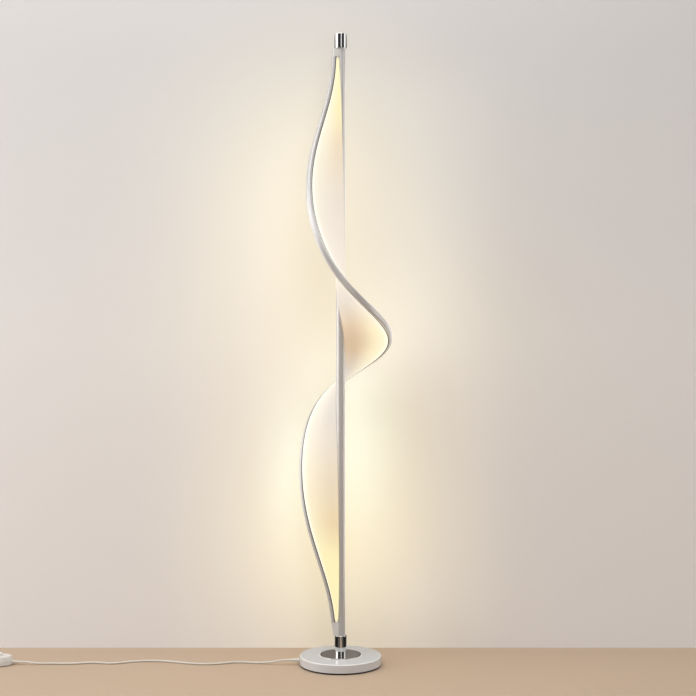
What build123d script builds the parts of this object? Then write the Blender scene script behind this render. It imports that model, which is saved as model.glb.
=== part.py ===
"""A spiral LED floor lamp: a round weighted base, a thin post, and a rail that winds once round the post.

A glowing fin fills the space between the rail and the post: two thin translucent skins run from the sides of
the post to the lips of the rail, and the LED strip lies in the rail and shines inwards.
Millimetres, +Z up, origin on the floor at the centre of the base, which is the axis of the post.
The lamp is seen from -Y, with +X to the right. The mains lead leaves the base towards -X.
"""

import math
import os

from build123d import *

os.makedirs("parts", exist_ok=True)

# Base
pad_height = 2.0
pad_inset = 0.8
base_radius = 90.0
base_height = 19.5
base_wall = 1.6
base_edge = 2.0
bottom_plate = 1.5
plate_clearance = 0.3
screw_circle = 60.0
screw_radius = 2.0
screw_head = 3.6
screw_length = 10.0
disc_radius = 45.0
disc_height = 2.0
disc_edge = 0.7

# Threaded rod that draws the post down on the base
rod_radius = 5.0
rod_bore = 3.0
rod_hole = 5.3
rod_reach = 26.0
nut_size = 8.5
nut_height = 4.0
washer_radius = 12.0
washer_height = 1.6
nut_recess = 13.0
nut_roof = 13.0
rod_tail = 0.4

# Post, collar and cap
post_radius = 10.0
post_wall = 1.2
post_length = 1357.0
collar_radius = 13.25
collar_height = 41.5
collar_floor = 5.5
collar_edge = 0.8
post_clearance = 0.3
plug_length = 29.0
plug_clearance = 0.05
cap_radius = 13.5
cap_height = 32.0
cap_roof = 6.0
cap_edge = 1.0
stud_radius = 3.0
stud_height = 3.6
top_plug_length = 20.0

# Spiral rail: how far its curve would run on past the cut ends, its distance from the post, and its turn
rail_foot_overrun = 76.8
rail_head_overrun = 56.5
rail_reach = 109.3
rail_rest = 14.5
rail_bulge = 4.33
rail_taper = 4.36
rail_start = 208.9
rail_turn = 297.8
rail_twist = 4.37
rail_skew = 0.382
rail_skew_rate = 3.0
rail_shift = 0.023
rail_drift = 33.5
rail_width = 14.0
rail_depth = 9.0
rail_wall = 1.5
rail_round = 3.5
rail_section_count = 48
rail_step = 0.5
path_samples = 600

# Fin skins
skin_thickness = 1.0
skin_gap = 0.3
root_wide = 85.0
root_narrow = 38.0
root_blend = 0.2
skin_end_gap = 0.3

# Joint blocks at both ends of the rail
lower_block_height = 28.8
upper_block_height = 18.7
block_root = 3.0
block_half = 10.3
block_tip = 15.6
block_gap = 0.2
tongue_length = 10.0
tongue_gap = 0.4
block_screw = 1.5
block_screw_head = 2.8
block_screw_sink = 2.0
block_screw_cap = 1.5

# LED strip
strip_width = 8.0
strip_thickness = 0.6
strip_gap = 0.15
chip_length = 3.5
chip_width = 2.8
chip_height = 1.0
chip_count = 84
connector_width = 4.0
connector_height = 3.4
connector_gap = 0.4
window_gap = 0.3

# Driver in the base
driver_width = 32.0
driver_height = 11.8
driver_clear = 4.0
driver_room = 2.0
driver_corner = 2.0
lead_radius = 1.3
lead_height = 5.0
lead_bend = 3.0
tail_radius = 1.0
tail_spacing = 3.0
tail_run = 7.4

# Mains lead
cord_radius = 2.1
exit_height = 10.0
relief_flange = 6.0
relief_neck = 4.0
relief_root = 4.4
relief_tip = 2.9
relief_length = 22.0
relief_lip = 2.0
relief_inside = 4.0
relief_hole_gap = 0.3
exit_cut = 6.4

# Foot switch on the lead
switch_x = -763.0
switch_length = 76.0
switch_width = 50.0
switch_pad = 1.0
switch_split = 10.0
switch_top = 20.0
switch_floor = 2.2
switch_wall = 2.2
switch_taper = 16.0
switch_edge = 2.0
switch_pad_inset = 3.0
button_radius = 16.0
button_top = 28.0
button_dome = 3.6
button_flange = 1.6
button_flange_height = 2.0
button_travel = 3.0
button_gap = 0.4
plunger_radius = 2.5
contact_length = 14.0
contact_width = 10.0
spring_radius = 11.0
spring_wire = 1.2
contact_height = 6.0
grommet_height = 6.0
grommet_length = 10.0
grommet_root = 4.0
grommet_tip = 2.9
grommet_neck = 2.6
grommet_inside = 2.0
switch_screw_spacing = 52.0
switch_screw_radius = 1.5
switch_screw_head = 2.8
switch_screw_sink = 1.6
switch_boss = 3.6

# Put-away coil, its tie and the mains plug
coil_x = -912.2
coil_y = 3.0
coil_middle = 25.2
coil_pitch = 4.7
coil_turns = 3
coil_rest = 1.1
tie_thickness = 0.8
tie_width = 8.0
tie_gap = 0.3
tie_inner_gap = 0.9
plug_length_body = 35.0
plug_width = 35.3
plug_thickness = 13.7
plug_neck = 9.0
plug_neck_corner = 4.1
plug_shoulder = 14.0
plug_corner = 4.4
plug_relief_length = 22.0
pin_radius = 2.0
pin_length = 19.0
pin_spacing = 18.6
pin_round = 0.8
plug_y = 63.0
plug_height = 7.2

# Heights that follow from these
shell_bottom = pad_height
base_top = shell_bottom + base_height
roof_underside = base_top - base_wall
plate_top = shell_bottom + bottom_plate
disc_top = base_top + disc_height
collar_top = disc_top + collar_height
post_bottom = disc_top + collar_floor
post_top = post_bottom + post_length
post_inner = post_radius - post_wall
cap_top = post_top + cap_roof
cap_bottom = cap_top - cap_height
lower_block_bottom = collar_top + block_gap
lower_block_top = lower_block_bottom + lower_block_height
upper_block_top = cap_bottom - block_gap
upper_block_bottom = upper_block_top - upper_block_height
rail_low = lower_block_top + block_gap
rail_high = upper_block_bottom - block_gap
rail_middle = (rail_low - rail_foot_overrun + rail_high + rail_head_overrun) / 2
rail_half = (rail_high + rail_head_overrun - rail_low + rail_foot_overrun) / 2


def rail_point(height):
    """Distance from the post's axis and angle, in degrees, of the rail's centre at a height."""
    u = (rail_middle - height) / rail_half
    along = min(abs(u), 1.0)
    distance = rail_rest + (rail_reach - rail_rest) * (1 - along**rail_bulge) ** rail_taper
    w = u + rail_shift
    bend = rail_twist * (1 + rail_skew * math.tanh(rail_skew_rate * w)) * w
    angle = rail_start + rail_turn / 2 * (1 + bend / math.sqrt(1 + bend * bend)) + rail_drift * u
    return distance, angle


def polar(distance, angle, height):
    """A point at a distance and an angle in degrees round the post."""
    turn = math.radians(angle)
    return Vector(distance * math.cos(turn), distance * math.sin(turn), height)


def rail_centre(height):
    """The rail's centre at a height."""
    distance, angle = rail_point(height)
    return polar(distance, angle, height)


def rail_plane(height):
    """The plane square to the rail at a height, X pointing away from the post, and level at the cut ends."""
    outwards = polar(1, rail_point(height)[1], 0)
    if min(height - rail_low, rail_high - height) < rail_step:
        return Plane(origin=rail_centre(height), x_dir=outwards, z_dir=(0, 0, 1))
    along = (rail_centre(height + rail_step) - rail_centre(height - rail_step)).normalized()
    across = (outwards - along * outwards.dot(along)).normalized()
    return Plane(origin=rail_centre(height), x_dir=across, z_dir=along)


def even_heights(low, high, count):
    """Heights that divide the rail between two heights into equal lengths."""
    step = (high - low) / path_samples
    levels = [low + step * i for i in range(path_samples + 1)]
    lengths = [0.0]
    for below, above in zip(levels, levels[1:]):
        lengths.append(lengths[-1] + (rail_centre(above) - rail_centre(below)).length)
    heights = []
    index = 0
    for i in range(count):
        wanted = lengths[-1] * i / (count - 1)
        while index < path_samples - 1 and lengths[index + 1] < wanted:
            index += 1
        share = (wanted - lengths[index]) / (lengths[index + 1] - lengths[index])
        heights.append(levels[index] + step * share)
    return heights


def root_half_angle(height):
    """Half of the angle that the fin's root takes up on the post."""
    u = (rail_middle - height) / rail_half
    return root_wide - (root_wide - root_narrow) * math.exp(-((u / root_blend) ** 2))


def skin_plane(height, side):
    """The plane of a skin's section at a height, X from post to rail, and the section's length."""
    frame = rail_plane(height)
    lip_x = -rail_depth / 2 - skin_gap
    lip_y = side * (rail_width - rail_wall) / 2
    lip = frame.origin + frame.x_dir * lip_x + frame.y_dir * lip_y
    rail_angle = rail_point(height)[1]
    outwards = polar(1, rail_angle, 0)
    sideways = polar(side, rail_angle + 90, 0)
    lip_turn = math.degrees(math.atan2(lip.dot(sideways), lip.dot(outwards)))
    root_radius = post_radius + skin_gap + skin_thickness / 2
    tangent = math.degrees(math.acos(root_radius / math.hypot(lip.X, lip.Y)))
    root_angle = rail_angle + side * min(root_half_angle(height), lip_turn + tangent)
    root = polar(root_radius, root_angle, height)
    span = lip - root
    across = span.normalized()
    along = (Vector(0, 0, 1) + frame.z_dir).normalized()
    along = (along - across * along.dot(across)).normalized()
    return Plane(origin=root + span * 0.5, x_dir=across, z_dir=along), span.length


def corner_radii(points):
    """The largest even arcs for a cord's corners, each taking 0.45 of the shorter run beside it."""
    vectors = [Vector(*p) for p in points]
    radii = []
    for before, here, after in zip(vectors, vectors[1:], vectors[2:]):
        turn = math.radians((here - before).get_angle(after - here))
        shorter = min((here - before).length, (after - here).length)
        radii.append(0.45 * shorter / math.tan(turn / 2))
    return radii


# Dark foam pad that the lamp stands on
with BuildPart() as anti_slip_pad:
    with BuildSketch():
        Circle(base_radius - pad_inset)
    extrude(amount=pad_height)

# Steel plate that closes the base from below
plate_radius = base_radius - base_wall - plate_clearance
screw_places = PolarLocations(screw_circle, 4, start_angle=45).locations
with BuildPart() as base_bottom_plate:
    with BuildSketch(Plane.XY.offset(shell_bottom)):
        Circle(plate_radius)
    extrude(amount=bottom_plate)
    for place in screw_places:
        with BuildSketch(Plane(place.position + Vector(0, 0, shell_bottom))):
            Circle(screw_head)
        with BuildSketch(Plane(place.position + Vector(0, 0, plate_top))):
            Circle(screw_radius)
        loft(mode=Mode.SUBTRACT)

# Spun steel shell of the base, white
exit_plane = Plane(origin=(-base_radius, 0, exit_height), x_dir=(0, 1, 0), z_dir=(-1, 0, 0))
with BuildPart() as base_shell:
    with BuildSketch(Plane.XZ) as shell_profile:
        with BuildLine():
            Polyline(
                (rod_hole, roof_underside),
                (base_radius - base_edge, roof_underside),
                (base_radius - base_wall, base_top - base_edge),
                (base_radius - base_wall, shell_bottom),
                (base_radius, shell_bottom),
                (base_radius, base_top),
                (rod_hole, base_top),
                close=True,
            )
        make_face()
        fillet(shell_profile.vertices().group_by(Axis.Y)[-1].sort_by(Axis.X)[-1], base_edge)
    revolve()
    with BuildSketch(exit_plane.offset(-exit_cut)):
        Circle(relief_neck + relief_hole_gap)
    extrude(amount=2 * exit_cut, mode=Mode.SUBTRACT)

# Cast iron weight that fills the shell, with room for the driver, the nut and the lead
driver_end = nut_recess + driver_clear
driver_far = base_radius - base_wall - relief_inside - tail_run
pocket_end = driver_far + driver_room
with BuildPart() as counterweight:
    with BuildSketch(Plane.XZ):
        with BuildLine():
            Polyline(
                (rod_hole, plate_top),
                (plate_radius, plate_top),
                (plate_radius, base_top - base_edge - plate_clearance),
                (base_radius - base_edge - plate_clearance, roof_underside),
                (rod_hole, roof_underside),
                close=True,
            )
        make_face()
    revolve()
    with BuildSketch(Plane.XY.offset(plate_top)):
        Circle(nut_recess)
    extrude(amount=nut_roof - plate_top, mode=Mode.SUBTRACT)
    with BuildSketch(Plane.XY.offset(plate_top)):
        with Locations((-pocket_end / 2, 0)):
            Rectangle(pocket_end, driver_width + driver_room)
    extrude(amount=driver_height + driver_room, mode=Mode.SUBTRACT)
    with BuildSketch(exit_plane):
        Circle(relief_flange + relief_hole_gap)
    extrude(amount=-(base_radius - pocket_end + driver_room), mode=Mode.SUBTRACT)
    for place in screw_places:
        with BuildSketch(Plane(place.position + Vector(0, 0, plate_top))):
            Circle(screw_radius)
        extrude(amount=screw_length, mode=Mode.SUBTRACT)

# Four screws that hold the bottom plate
with BuildPart() as bottom_screws:
    for place in screw_places:
        with BuildSketch(Plane(place.position + Vector(0, 0, shell_bottom))):
            Circle(screw_head)
        with BuildSketch(Plane(place.position + Vector(0, 0, plate_top))):
            Circle(screw_radius)
        loft()
        with BuildSketch(Plane(place.position + Vector(0, 0, plate_top))):
            Circle(screw_radius)
        extrude(amount=screw_length)

# Polished disc on top of the base
with BuildPart() as cover_disc:
    with BuildSketch(Plane.XY.offset(base_top)):
        Circle(disc_radius)
        Circle(rod_hole, mode=Mode.SUBTRACT)
    extrude(amount=disc_height)
    fillet(cover_disc.edges().group_by(Axis.Z)[-1].sort_by(SortBy.LENGTH)[-1], disc_edge)

# Chrome collar that seats the post
with BuildPart() as post_collar:
    with BuildSketch(Plane.XY.offset(disc_top)):
        Circle(collar_radius)
    extrude(amount=collar_height)
    with BuildSketch(Plane.XY.offset(post_bottom)):
        Circle(post_radius + post_clearance)
    extrude(amount=collar_height, mode=Mode.SUBTRACT)
    with BuildSketch(Plane.XY.offset(disc_top)):
        Circle(rod_hole)
    extrude(amount=collar_height, mode=Mode.SUBTRACT)
    fillet(post_collar.edges().group_by(Axis.Z)[-1].sort_by(SortBy.LENGTH)[-1], collar_edge)

# Threaded rod, hollow for the lead, with its nut and washer under the weight
rod_bottom = nut_roof - washer_height - nut_height - rod_tail
rod_top = post_bottom + rod_reach
with BuildPart() as threaded_rod:
    with BuildSketch(Plane.XY.offset(rod_bottom)):
        Circle(rod_radius)
        Circle(rod_bore, mode=Mode.SUBTRACT)
    extrude(amount=rod_top - rod_bottom)

with BuildPart() as rod_washer:
    with BuildSketch(Plane.XY.offset(nut_roof - washer_height)):
        Circle(washer_radius)
        Circle(rod_hole, mode=Mode.SUBTRACT)
    extrude(amount=washer_height)

with BuildPart() as rod_nut:
    with BuildSketch(Plane.XY.offset(nut_roof - washer_height - nut_height)):
        RegularPolygon(nut_size, 6, major_radius=False)
        Circle(rod_radius + plug_clearance, mode=Mode.SUBTRACT)
    extrude(amount=nut_height)

# Threaded plug in the foot of the post
with BuildPart() as post_lower_plug:
    with BuildSketch(Plane.XY.offset(post_bottom)):
        Circle(post_inner - plug_clearance)
        Circle(rod_radius + plug_clearance, mode=Mode.SUBTRACT)
    extrude(amount=plug_length)

# Post tube, white, with a window for the strip's connector and holes for the block screws
strip_low = rail_low + tongue_length + connector_height + 3 * connector_gap
connector_low = strip_low - connector_gap - connector_height
connector_distance, connector_angle = rail_point(connector_low)
connector_plane = Plane(
    origin=(0, 0, connector_low), x_dir=polar(1, connector_angle, 0), z_dir=(0, 0, 1)
)
lower_reach, lower_angle = rail_point(rail_low)
upper_reach, upper_angle = rail_point(rail_high)
lower_screw_height = lower_block_bottom + lower_block_height / 2
upper_screw_height = upper_block_bottom + upper_block_height / 2


def block_screw_plane(angle, height):
    """The plane on the post's axis that a block screw points out from."""
    return Plane(origin=(0, 0, height), x_dir=(0, 0, 1), z_dir=polar(1, angle, 0))


lower_screw_plane = block_screw_plane(lower_angle, lower_screw_height)
upper_screw_plane = block_screw_plane(upper_angle, upper_screw_height)
with BuildPart() as post_tube:
    with BuildSketch(Plane.XY.offset(post_bottom)):
        Circle(post_radius)
        Circle(post_inner, mode=Mode.SUBTRACT)
    extrude(amount=post_length)
    with BuildSketch(connector_plane.offset(-window_gap)):
        with Locations((post_radius, 0)):
            Rectangle(2 * post_radius, connector_width + 2 * window_gap)
    extrude(amount=connector_height + 2 * window_gap, mode=Mode.SUBTRACT)
    for screw_plane in (lower_screw_plane, upper_screw_plane):
        with BuildSketch(screw_plane):
            Circle(block_screw)
        extrude(amount=2 * post_radius, mode=Mode.SUBTRACT)

# Threaded plug with a stud in the head of the post, and the chrome cap on it
with BuildPart() as post_upper_plug:
    with BuildSketch(Plane.XY.offset(post_top - top_plug_length)):
        Circle(post_inner - plug_clearance)
    extrude(amount=top_plug_length)
    with BuildSketch(Plane.XY.offset(post_top)):
        Circle(stud_radius)
    extrude(amount=stud_height)

with BuildPart() as top_cap:
    with BuildSketch(Plane.XY.offset(cap_bottom)):
        Circle(cap_radius)
    extrude(amount=cap_height)
    with BuildSketch(Plane.XY.offset(cap_bottom)):
        Circle(post_radius + post_clearance)
    extrude(amount=cap_height - cap_roof, mode=Mode.SUBTRACT)
    with BuildSketch(Plane.XY.offset(post_top)):
        Circle(stud_radius + plug_clearance)
    extrude(amount=stud_height + post_clearance, mode=Mode.SUBTRACT)
    fillet(top_cap.edges().group_by(Axis.Z)[-1], cap_edge)

# Spiral rail: a channel open towards the post
rail_heights = even_heights(rail_low, rail_high, rail_section_count)
rail_inner = -rail_depth / 2
rail_outer = rail_depth / 2
rail_side = rail_width / 2
rail_floor = rail_outer - rail_wall
corner_in = rail_round * (1 - math.sqrt(0.5))
with BuildPart() as spiral_rail:
    for height in rail_heights:
        with BuildSketch(rail_plane(height)):
            with BuildLine():
                Polyline(
                    (rail_outer - rail_round, -rail_side),
                    (rail_inner, -rail_side),
                    (rail_inner, -rail_side + rail_wall),
                    (rail_floor, -rail_side + rail_wall),
                    (rail_floor, rail_side - rail_wall),
                    (rail_inner, rail_side - rail_wall),
                    (rail_inner, rail_side),
                    (rail_outer - rail_round, rail_side),
                )
                ThreePointArc(
                    (rail_outer - rail_round, rail_side),
                    (rail_outer - corner_in, rail_side - corner_in),
                    (rail_outer, rail_side - rail_round),
                )
                Line((rail_outer, rail_side - rail_round), (rail_outer, -rail_side + rail_round))
                ThreePointArc(
                    (rail_outer, -rail_side + rail_round),
                    (rail_outer - corner_in, -rail_side + corner_in),
                    (rail_outer - rail_round, -rail_side),
                )
            make_face()
    loft()

# LED strip on the floor of the rail, its chips, and the connector through the post's window
strip_high = rail_high - tongue_length - connector_gap
strip_centre = rail_floor - strip_gap - strip_thickness / 2
with BuildPart() as led_strip:
    for height in even_heights(strip_low, strip_high, rail_section_count):
        with BuildSketch(rail_plane(height)):
            with Locations((strip_centre, 0)):
                Rectangle(strip_thickness, strip_width)
    loft()

chip_centre = strip_centre - strip_thickness / 2 - strip_gap - chip_height / 2
chip_heights = even_heights(strip_low + chip_length, strip_high - chip_length, chip_count)
with BuildPart() as led_chips:
    for height in chip_heights:
        with BuildSketch(rail_plane(height).offset(-chip_length / 2)):
            with Locations((chip_centre, 0)):
                Rectangle(chip_height, chip_width)
        extrude(amount=chip_length)

connector_reach = connector_distance + rail_floor - connector_gap
with BuildPart() as strip_connector:
    with BuildSketch(connector_plane):
        with Locations((connector_reach / 2, 0)):
            Rectangle(connector_reach, connector_width)
    extrude(amount=connector_height)

# Two skins of the fin
skin_low = rail_low + skin_end_gap
skin_high = rail_high - skin_end_gap
skin_heights = even_heights(skin_low, skin_high, rail_section_count)
with BuildPart() as diffuser_upper:
    for height in skin_heights:
        section, length = skin_plane(height, 1)
        with BuildSketch(section):
            Rectangle(length, skin_thickness)
    loft()

with BuildPart() as diffuser_lower:
    for height in skin_heights:
        section, length = skin_plane(height, -1)
        with BuildSketch(section):
            Rectangle(length, skin_thickness)
    loft()

# Blocks that join the ends of the rail to the post, tapered, each with a tongue in the channel
tongue_depth = rail_depth - rail_wall - 2 * tongue_gap
tongue_width = rail_width - 2 * rail_wall - 2 * tongue_gap
lower_block_end = lower_reach + rail_outer
upper_block_end = upper_reach + rail_outer
lower_screw_seat = (lower_block_end + block_tip) / 2 - block_screw_sink
upper_screw_seat = (upper_block_end + block_tip) / 2 - block_screw_sink


def block_plane(angle, height):
    """A level plane at a height with X pointing from the post to the rail's end."""
    return Plane(origin=(0, 0, height), x_dir=polar(1, angle, 0), z_dir=(0, 0, 1))


def block_outline(end):
    """The wedge from the post to an outer end, in the sketch that is open."""
    with BuildLine() as outline:
        Polyline(
            (block_root, block_half),
            (block_root, -block_half),
            (end - rail_round, -rail_side),
        )
        ThreePointArc(
            (end - rail_round, -rail_side),
            (end - corner_in, -rail_side + corner_in),
            (end, -rail_side + rail_round),
        )
        Line((end, -rail_side + rail_round), (end, rail_side - rail_round))
        ThreePointArc(
            (end, rail_side - rail_round),
            (end - corner_in, rail_side - corner_in),
            (end - rail_round, rail_side),
        )
        Line((end - rail_round, rail_side), (block_root, block_half))
    make_face(outline.edges())
    Circle(post_radius + block_gap, mode=Mode.SUBTRACT)


def tongue_outline(reach):
    """The tongue that fills the end of the channel, in the sketch that is open."""
    with Locations((reach + rail_inner + tongue_gap + tongue_depth / 2, 0)):
        Rectangle(tongue_depth, tongue_width)
    Circle(post_radius + block_gap, mode=Mode.SUBTRACT)


with BuildPart() as lower_joint_block:
    with BuildSketch(block_plane(lower_angle, lower_block_bottom)):
        block_outline(block_tip)
    with BuildSketch(block_plane(lower_angle, lower_block_top)):
        block_outline(lower_block_end)
    loft()
    with BuildSketch(block_plane(lower_angle, lower_block_top)):
        tongue_outline(lower_reach)
    extrude(amount=tongue_length)
    with BuildSketch(lower_screw_plane):
        Circle(block_screw)
    extrude(amount=2 * lower_block_end, mode=Mode.SUBTRACT)
    with BuildSketch(lower_screw_plane.offset(lower_screw_seat)):
        Circle(block_screw_head)
    extrude(amount=lower_block_end, mode=Mode.SUBTRACT)

with BuildPart() as upper_joint_block:
    with BuildSketch(block_plane(upper_angle, upper_block_bottom)):
        block_outline(upper_block_end)
    with BuildSketch(block_plane(upper_angle, upper_block_top)):
        block_outline(block_tip)
    loft()
    with BuildSketch(block_plane(upper_angle, upper_block_bottom)):
        tongue_outline(upper_reach)
    extrude(amount=-tongue_length)
    with BuildSketch(upper_screw_plane):
        Circle(block_screw)
    extrude(amount=2 * upper_block_end, mode=Mode.SUBTRACT)
    with BuildSketch(upper_screw_plane.offset(upper_screw_seat)):
        Circle(block_screw_head)
    extrude(amount=upper_block_end, mode=Mode.SUBTRACT)

screw_tip = post_inner - 2 * post_wall
with BuildPart() as block_screws:
    for screw_plane, seat in ((lower_screw_plane, lower_screw_seat), (upper_screw_plane, upper_screw_seat)):
        with BuildSketch(screw_plane.offset(screw_tip)):
            Circle(block_screw)
        extrude(amount=seat - screw_tip)
        with BuildSketch(screw_plane.offset(seat)):
            Circle(block_screw_head)
        extrude(amount=block_screw_cap)

# LED driver in the base, the lead that goes up the post, and the mains wires to the strain relief
with BuildPart() as led_driver:
    with BuildSketch(Plane.XY.offset(plate_top)):
        with Locations((-(driver_end + driver_far) / 2, 0)):
            RectangleRounded(driver_far - driver_end, driver_width, driver_corner)
    extrude(amount=driver_height)

with BuildPart() as driver_lead:
    with BuildLine() as lead_path:
        FilletPolyline(
            (-driver_end, 0, lead_height),
            (0, 0, lead_height),
            (0, 0, connector_low),
            radius=lead_bend,
        )
    with BuildSketch(Plane(origin=lead_path.line @ 0, z_dir=lead_path.line % 0)):
        Circle(lead_radius)
    sweep(path=lead_path.line)

with BuildPart() as mains_wires:
    with BuildSketch(Plane(origin=(-driver_far, 0, exit_height), x_dir=(0, 1, 0), z_dir=(-1, 0, 0))):
        with GridLocations(tail_spacing, 1, 2, 1):
            Circle(tail_radius)
    extrude(amount=tail_run)

# Strain relief of the mains lead
with BuildPart() as strain_relief:
    with BuildSketch(Plane.XZ):
        with BuildLine():
            Polyline(
                (-base_radius + base_wall + relief_inside, exit_height),
                (-base_radius + base_wall + relief_inside, exit_height + relief_flange),
                (-base_radius + base_wall + relief_lip, exit_height + relief_flange),
                (-base_radius + base_wall + relief_lip, exit_height + relief_neck),
                (-base_radius - relief_hole_gap, exit_height + relief_neck),
                (-base_radius - relief_hole_gap, exit_height + relief_root),
                (-base_radius - relief_length, exit_height + relief_tip),
                (-base_radius - relief_length, exit_height),
                close=True,
            )
        make_face()
    revolve(axis=Axis((-base_radius, 0, exit_height), (1, 0, 0)))

# Route of the lead from the strain relief to the foot switch
floor_line = cord_radius
switch_entry = switch_x + switch_length / 2 + grommet_length
to_switch_route = [
    (-base_radius - relief_length, 0.0, exit_height),
    (-130.0, 0.0, exit_height),
    (-153.0, 1.5, 5.0),
    (-183.0, 6.0, floor_line),
    (-232.0, 17.0, floor_line),
    (-274.0, -3.0, floor_line),
    (-318.0, -4.0, floor_line),
    (-362.0, 13.0, floor_line),
    (-412.0, 28.0, floor_line),
    (-462.0, 20.0, floor_line),
    (-505.0, -1.0, floor_line),
    (-549.0, 13.0, floor_line),
    (-595.0, -2.0, floor_line),
    (-636.0, 2.0, floor_line),
    (-668.0, -1.0, floor_line),
    (-693.0, 0.0, grommet_height),
    (switch_entry, 0.0, grommet_height),
]

# Route of the lead from the foot switch to the coil, and from the coil to the plug
switch_exit = switch_x - switch_length / 2 - grommet_length
coil_low = cord_radius + coil_rest
coil_high = coil_low + coil_pitch
coil_start = coil_x + 2 * cord_radius
from_switch_route = [
    (switch_exit, 0.0, grommet_height),
    (-833.0, 0.0, grommet_height),
    (-860.0, -1.0, 3.8),
    (-886.0, coil_y, coil_low),
    (coil_start, coil_y, coil_low),
]
half_turns = 2 * coil_turns
half_radii = [coil_middle + ((half_turns - 1) / 2 - k) * coil_pitch / 2 for k in range(half_turns)]
climb_radius = half_radii[-2] - coil_pitch
coil_end_y = coil_y + 2 * half_radii[0]
plug_relief_start = -864.0
to_plug_route = [
    (coil_start, coil_end_y, coil_high),
    (-894.0, coil_end_y, coil_high),
    (-878.0, plug_y, plug_height),
    (plug_relief_start, plug_y, plug_height),
]


def cord_line(points):
    """The cord's straight runs and tangent arcs, in the line block that is open."""
    FilletPolyline(*points, radius=corner_radii(points))


with BuildPart() as cord_to_switch:
    with BuildLine() as to_switch_path:
        cord_line(to_switch_route)
    with BuildSketch(Plane(origin=to_switch_path.line @ 0, z_dir=to_switch_path.line % 0)):
        Circle(cord_radius)
    sweep(path=to_switch_path.line)

with BuildPart() as cord_from_switch:
    with BuildLine() as from_switch_path:
        cord_line(from_switch_route)
    with BuildSketch(Plane(origin=from_switch_path.line @ 0, z_dir=from_switch_path.line % 0)):
        Circle(cord_radius)
    sweep(path=from_switch_path.line)

with BuildPart() as cord_to_plug:
    with BuildLine() as to_plug_path:
        cord_line(to_plug_route)
    with BuildSketch(Plane(origin=to_plug_path.line @ 0, z_dir=to_plug_path.line % 0)):
        Circle(cord_radius)
    sweep(path=to_plug_path.line)

# Put-away coil: it spirals in on the lower layer, climbs in one half turn, and spirals out on the upper layer
with BuildPart() as cord_coil:
    with BuildLine() as coil_path:
        Line((coil_start, coil_y, coil_low), (coil_x, coil_y, coil_low))
        y = coil_y
        side = -1
        for radius in half_radii:
            over = y - side * 2 * radius
            ThreePointArc(
                (coil_x, y, coil_low),
                (coil_x + side * radius, (y + over) / 2, coil_low),
                (coil_x, over, coil_low),
            )
            y = over
            side = -side
        over = y - side * 2 * climb_radius
        halfway = math.hypot(climb_radius, coil_pitch / 2)
        climb_top = (coil_x + side * halfway, (y + over) / 2, (coil_low + coil_high) / 2)
        first = TangentArc((coil_x, y, coil_low), climb_top, tangent=(side, 0, 0))
        TangentArc(climb_top, (coil_x, over, coil_high), tangent=first % 1)
        y = over
        side = -side
        for radius in reversed(half_radii):
            over = y - side * 2 * radius
            ThreePointArc(
                (coil_x, y, coil_high),
                (coil_x + side * radius, (y + over) / 2, coil_high),
                (coil_x, over, coil_high),
            )
            y = over
            side = -side
        Line((coil_x, y, coil_high), (coil_start, y, coil_high))
    with BuildSketch(Plane(origin=coil_path.line @ 0, z_dir=coil_path.line % 0)):
        Circle(cord_radius)
    sweep(path=coil_path.line)

# Tie round the coil's turns on the side away from the lamp
tie_outside = coil_x - half_radii[0] - cord_radius - tie_gap
tie_inside = coil_x - climb_radius + cord_radius + tie_inner_gap
tie_bottom = coil_low - cord_radius - tie_gap
tie_top = coil_high + cord_radius + tie_gap
tie_middle = coil_y + half_radii[0]
tie_plane = Plane(
    origin=((tie_outside + tie_inside) / 2, tie_middle + tie_width / 2, (tie_bottom + tie_top) / 2),
    x_dir=(1, 0, 0),
    z_dir=(0, -1, 0),
)
with BuildPart() as coil_tie:
    with BuildSketch(tie_plane):
        Rectangle(tie_inside - tie_outside + 2 * tie_thickness, tie_top - tie_bottom + 2 * tie_thickness)
        Rectangle(tie_inside - tie_outside, tie_top - tie_bottom, mode=Mode.SUBTRACT)
    extrude(amount=tie_width)

# Foot switch: rubber pad, lower and upper shell
switch_centre = (switch_x, 0, 0)
switch_roof = switch_top - switch_wall
switch_inside = switch_pad + switch_floor
screw_spots = [
    Vector(switch_x - switch_screw_spacing / 2, 0, 0),
    Vector(switch_x + switch_screw_spacing / 2, 0, 0),
]


def switch_level(height):
    """A level plane at a height over the middle of the foot switch."""
    return Plane(origin=(switch_x, 0, height))


with BuildPart() as switch_rubber:
    with BuildSketch(switch_level(0)):
        Ellipse(switch_length / 2 - switch_pad_inset, switch_width / 2 - switch_pad_inset)
    extrude(amount=switch_pad)

with BuildPart() as switch_base:
    with BuildSketch(switch_level(switch_pad)):
        Ellipse(switch_length / 2, switch_width / 2)
    extrude(amount=switch_split - switch_pad)
    fillet(switch_base.edges().group_by(Axis.Z)[0], switch_wall / 2)
    with BuildSketch(switch_level(switch_inside)):
        Ellipse(switch_length / 2 - switch_wall, switch_width / 2 - switch_wall)
    extrude(amount=switch_split, mode=Mode.SUBTRACT)
    for spot in screw_spots:
        with BuildSketch(Plane(spot + Vector(0, 0, switch_inside))):
            Circle(switch_boss)
        extrude(amount=switch_split - switch_inside)
        with BuildSketch(Plane(spot)):
            Circle(switch_screw_radius)
        extrude(amount=switch_split, mode=Mode.SUBTRACT)
        with BuildSketch(Plane(spot)):
            Circle(switch_screw_head)
        extrude(amount=switch_pad + switch_screw_sink, mode=Mode.SUBTRACT)
    with BuildSketch(Plane(origin=(switch_x, 0, grommet_height), x_dir=(0, 1, 0), z_dir=(1, 0, 0))):
        Circle(grommet_neck)
    extrude(amount=switch_length, both=True, mode=Mode.SUBTRACT)

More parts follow.
